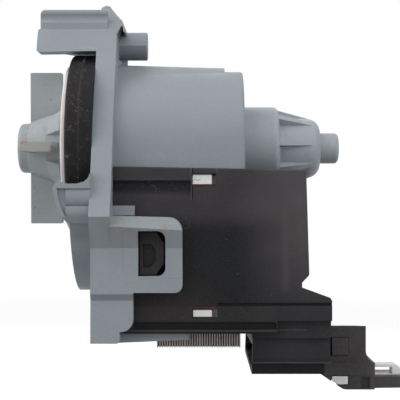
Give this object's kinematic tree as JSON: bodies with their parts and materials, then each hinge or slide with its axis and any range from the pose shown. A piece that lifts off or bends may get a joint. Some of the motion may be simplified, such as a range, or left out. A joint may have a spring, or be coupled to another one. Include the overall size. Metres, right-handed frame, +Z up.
{
  "type": "dishwasher drain pump",
  "caption": "Synchronous drain pump with a bladed impeller on a sealed rotor, a hooked flange, a coil motor in a clip-on cover and a pull-off plug.",
  "frame": {"origin": "on the rotor's axis, inside the sump seal, 0.6 mm in front of the flange's sump face", "axes": "-X along the rotor's axis towards the sump, +Z up, -Y towards the side with the plug's latch"},
  "size_m": [0.1184, 0.0746, 0.1168],
  "materials": {
    "housing_plastic": "satin moulded, light orange peel",
    "can_plastic": "satin moulded",
    "impeller_plastic": "satin moulded, water stained",
    "seal_rubber": "dusty matte",
    "inner_rubber": "matte",
    "plate_plastic": "matte off-white",
    "bobbin_plastic": "matte white",
    "bush_graphite": "dense matte",
    "shaft_ceramic": "polished",
    "magnet_ferrite": "dull",
    "sleeve_plastic": "satin",
    "lamination_steel": "stamped edges",
    "copper_winding": "enamelled",
    "red_tape": "thin film",
    "cover_plastic": "moulded, dusty",
    "carrier_plastic": "satin",
    "terminal_brass": "tinned",
    "plug_plastic": "satin moulded",
    "lock_plastic": "satin white",
    "fuse_body": "glazed"
  },
  "bodies": {
    "stator": {"pump_housing": "housing_plastic", "rotor_can": "can_plastic", "front_bearing_plate": "plate_plastic", "sump_seal": "seal_rubber", "can_seal": "inner_rubber", "front_bush": "bush_graphite", "front_bush_rubber": "inner_rubber", "rear_bush": "bush_graphite", "rear_bush_rubber": "inner_rubber", "core_stack": "lamination_steel", "near_bobbin": "bobbin_plastic", "far_bobbin": "bobbin_plastic", "near_winding": "copper_winding", "far_winding": "copper_winding", "near_coil_tape": "red_tape", "far_coil_tape": "red_tape", "bobbin_pins": "terminal_brass", "thermal_fuse": "fuse_body", "motor_cover": "cover_plastic", "terminal_carrier": "carrier_plastic", "terminal_blades": "terminal_brass"},
    "rotor": {"shaft": "shaft_ceramic", "rotor_sleeve": "sleeve_plastic", "rotor_magnet": "magnet_ferrite", "front_thrust_washer": "sleeve_plastic", "rear_thrust_washer": "sleeve_plastic", "drive_dog": "sleeve_plastic"},
    "impeller": {"impeller": "impeller_plastic", "impeller_cap": "impeller_plastic"},
    "plug": {"plug_body": "plug_plastic", "plug_contacts": "terminal_brass"},
    "latch": {"plug_latch": "plug_plastic"},
    "terminal_lock": {"terminal_lock": "lock_plastic"},
    "locking_loop": {"locking_loop": "lock_plastic"}
  },
  "joints": [
    {"name": "rotor_spin", "type": "hinge", "parent": "stator", "child": "rotor", "pos_m": [0, 0, 0], "axis": [1, 0, 0], "continuous": true},
    {"name": "impeller_lag", "type": "hinge", "parent": "rotor", "child": "impeller", "pos_m": [0, 0, 0], "axis": [1, 0, 0], "range_deg": [-115, 115]},
    {"name": "plug_pull", "type": "slide", "parent": "stator", "child": "plug", "axis": [1, 0, 0], "range_m": [0, 0.018]},
    {"name": "latch_swing", "type": "hinge", "parent": "plug", "child": "latch", "pos_m": [0.0782, -0.0091, -0.0598], "axis": [0, 0, 1], "range_deg": [-7, 0], "stiffness_Nm_per_rad": 0.02},
    {"name": "terminal_lock_pull", "type": "slide", "parent": "plug", "child": "terminal_lock", "axis": [0, -1, 0], "range_m": [0, 0.003]},
    {"name": "locking_loop_pull", "type": "slide", "parent": "plug", "child": "locking_loop", "axis": [1, 0, 0], "range_m": [0, 0.004]}
  ]
}
